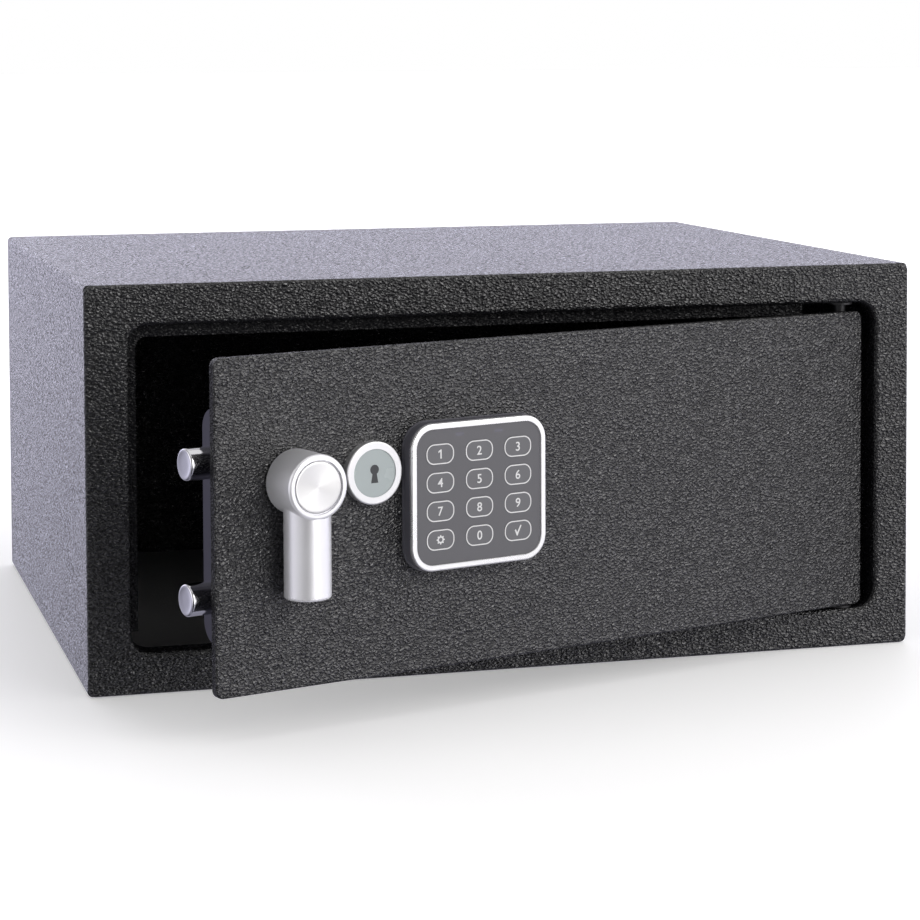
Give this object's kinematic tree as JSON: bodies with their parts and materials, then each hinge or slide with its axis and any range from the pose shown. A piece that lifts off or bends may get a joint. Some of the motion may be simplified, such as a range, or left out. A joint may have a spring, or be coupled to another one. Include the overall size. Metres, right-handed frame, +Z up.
{
  "type": "in-room safe",
  "caption": "Low, wide steel safe for a hotel room, with a swinging front door, turning handle, push-button keypad, key override and sliding round bolts.",
  "frame": {"origin": "centre of the cabinet's underside", "axes": "+Z up, -Y out of the front door, +X towards the hinge side"},
  "size_m": [0.43, 0.4716, 0.2],
  "materials": {
    "textured_black": "black powder coat with a leathery texture",
    "satin_grey": "plain satin powder coat",
    "zinc_steel": "bright zinc plate",
    "steel": "turned steel",
    "bolt_chrome": "polished chrome plate",
    "satin_silver": "satin silver plate",
    "spun_silver": "spun, fine circular brushing",
    "bezel_silver": "bright satin",
    "satin_white": "pale satin",
    "badge_grey": "smooth",
    "black_plastic": "moulded, slightly satin",
    "panel_grey": "smooth matte",
    "key_grey": "smooth matte with a pale printed outline and legend",
    "lens": "smoked lens",
    "mat_rubber": "silicone",
    "nylon": "natural nylon",
    "felt": "thin needled felt",
    "battery_sleeve": "shrink sleeve",
    "cable": "insulated wire",
    "board_green": "solder mask",
    "coil_tape": "wound coil under tape",
    "brass": "turned brass"
  },
  "bodies": {
    "cabinet": {"cabinet_shell": "textured_black", "back_panel": "textured_black", "front_frame": "textured_black", "door_stop": "textured_black", "hinge_bushes": "black_plastic", "floor_mat": "felt"},
    "door": {"batteries": "battery_sleeve", "battery_contacts": "steel", "battery_holder": "black_plastic", "battery_wires": "cable", "circuit_board": "board_green", "door_plate": "textured_black", "door_studs": "zinc_steel", "hinge_blocks": "textured_black", "hinge_pins": "steel", "inner_cover": "satin_grey", "key_mat": "mat_rubber", "keypad_bezel": "bezel_silver", "keypad_board": "board_green", "keypad_cable": "cable", "keypad_housing": "black_plastic", "keypad_panel": "panel_grey", "keypad_screws": "zinc_steel", "led_windows": "lens", "lock_barrel": "brass", "lock_bracket": "zinc_steel", "lock_nut": "zinc_steel", "plunger_spring": "steel", "solenoid_coil": "coil_tape", "solenoid_frame": "zinc_steel", "stud_nuts": "zinc_steel"},
    "handle": {"handle_casting": "satin_silver", "handle_cap": "spun_silver", "handle_washer": "nylon", "handle_spindle": "steel", "handle_clip": "zinc_steel", "bolt_crank": "zinc_steel"},
    "bolt_carriage_group": {"bolt_carriage": "zinc_steel", "locking_bolts": "bolt_chrome", "bolt_screws": "zinc_steel"},
    "plunger": {"solenoid_plunger": "steel"},
    "override_plug": {"lock_plug": "brass", "lock_cam": "zinc_steel"},
    "badge": {"badge_ring": "satin_white", "badge_disc": "badge_grey"},
    "battery_door": {"battery_lid": "black_plastic"},
    "key_0_body": {"key_0": "key_grey"},
    "key_1_body": {"key_1": "key_grey"},
    "key_2_body": {"key_2": "key_grey"},
    "key_3_body": {"key_3": "key_grey"},
    "key_4_body": {"key_4": "key_grey"},
    "key_5_body": {"key_5": "key_grey"},
    "key_6_body": {"key_6": "key_grey"},
    "key_7_body": {"key_7": "key_grey"},
    "key_8_body": {"key_8": "key_grey"},
    "key_9_body": {"key_9": "key_grey"},
    "key_settings_body": {"key_settings": "key_grey"},
    "key_enter_body": {"key_enter": "key_grey"}
  },
  "joints": [
    {"name": "door_swing", "type": "hinge", "parent": "cabinet", "child": "door", "pos_m": [0.1795, -0.1675, 0.1], "axis": [0, 0, 1], "range_deg": [-17, 83]},
    {"name": "handle_turn", "type": "hinge", "parent": "door", "child": "handle", "pos_m": [-0.13274, -0.2708, 0.117], "axis": [-0.2924, 0.9563, 0], "range_deg": [0, 70]},
    {"name": "bolt_slide", "type": "slide", "parent": "door", "child": "bolt_carriage_group", "axis": [0.9563, 0.2924, 0], "range_m": [0, 0.01]},
    {"name": "plunger_slide", "type": "slide", "parent": "door", "child": "plunger", "axis": [0, 0, -1], "range_m": [-0.004, 0], "deforming": ["plunger_spring"]},
    {"name": "key_lock_turn", "type": "hinge", "parent": "door", "child": "override_plug", "pos_m": [-0.0942, -0.25902, 0.1174], "axis": [-0.2924, 0.9563, 0], "range_deg": [0, 90]},
    {"name": "badge_pull", "type": "slide", "parent": "door", "child": "badge", "axis": [0.2924, -0.9563, 0], "range_m": [0, 0.012]},
    {"name": "battery_lid_slide", "type": "slide", "parent": "door", "child": "battery_door", "axis": [0.9563, 0.2924, 0], "range_m": [0, 0.03]},
    {"name": "key_0_press", "type": "slide", "parent": "door", "child": "key_0_body", "axis": [-0.2924, 0.9563, 0], "range_m": [0, 0.0008], "stiffness_N_per_m": 800},
    {"name": "key_1_press", "type": "slide", "parent": "door", "child": "key_1_body", "axis": [-0.2924, 0.9563, 0], "range_m": [0, 0.0008], "stiffness_N_per_m": 800},
    {"name": "key_2_press", "type": "slide", "parent": "door", "child": "key_2_body", "axis": [-0.2924, 0.9563, 0], "range_m": [0, 0.0008], "stiffness_N_per_m": 800},
    {"name": "key_3_press", "type": "slide", "parent": "door", "child": "key_3_body", "axis": [-0.2924, 0.9563, 0], "range_m": [0, 0.0008], "stiffness_N_per_m": 800},
    {"name": "key_4_press", "type": "slide", "parent": "door", "child": "key_4_body", "axis": [-0.2924, 0.9563, 0], "range_m": [0, 0.0008], "stiffness_N_per_m": 800},
    {"name": "key_5_press", "type": "slide", "parent": "door", "child": "key_5_body", "axis": [-0.2924, 0.9563, 0], "range_m": [0, 0.0008], "stiffness_N_per_m": 800},
    {"name": "key_6_press", "type": "slide", "parent": "door", "child": "key_6_body", "axis": [-0.2924, 0.9563, 0], "range_m": [0, 0.0008], "stiffness_N_per_m": 800},
    {"name": "key_7_press", "type": "slide", "parent": "door", "child": "key_7_body", "axis": [-0.2924, 0.9563, 0], "range_m": [0, 0.0008], "stiffness_N_per_m": 800},
    {"name": "key_8_press", "type": "slide", "parent": "door", "child": "key_8_body", "axis": [-0.2924, 0.9563, 0], "range_m": [0, 0.0008], "stiffness_N_per_m": 800},
    {"name": "key_9_press", "type": "slide", "parent": "door", "child": "key_9_body", "axis": [-0.2924, 0.9563, 0], "range_m": [0, 0.0008], "stiffness_N_per_m": 800},
    {"name": "key_settings_press", "type": "slide", "parent": "door", "child": "key_settings_body", "axis": [-0.2924, 0.9563, 0], "range_m": [0, 0.0008], "stiffness_N_per_m": 800},
    {"name": "key_enter_press", "type": "slide", "parent": "door", "child": "key_enter_body", "axis": [-0.2924, 0.9563, 0], "range_m": [0, 0.0008], "stiffness_N_per_m": 800}
  ],
  "couplings": [
    {"joint": "bolt_slide", "follows": "handle_turn", "m_per_rad": 0.00818}
  ]
}
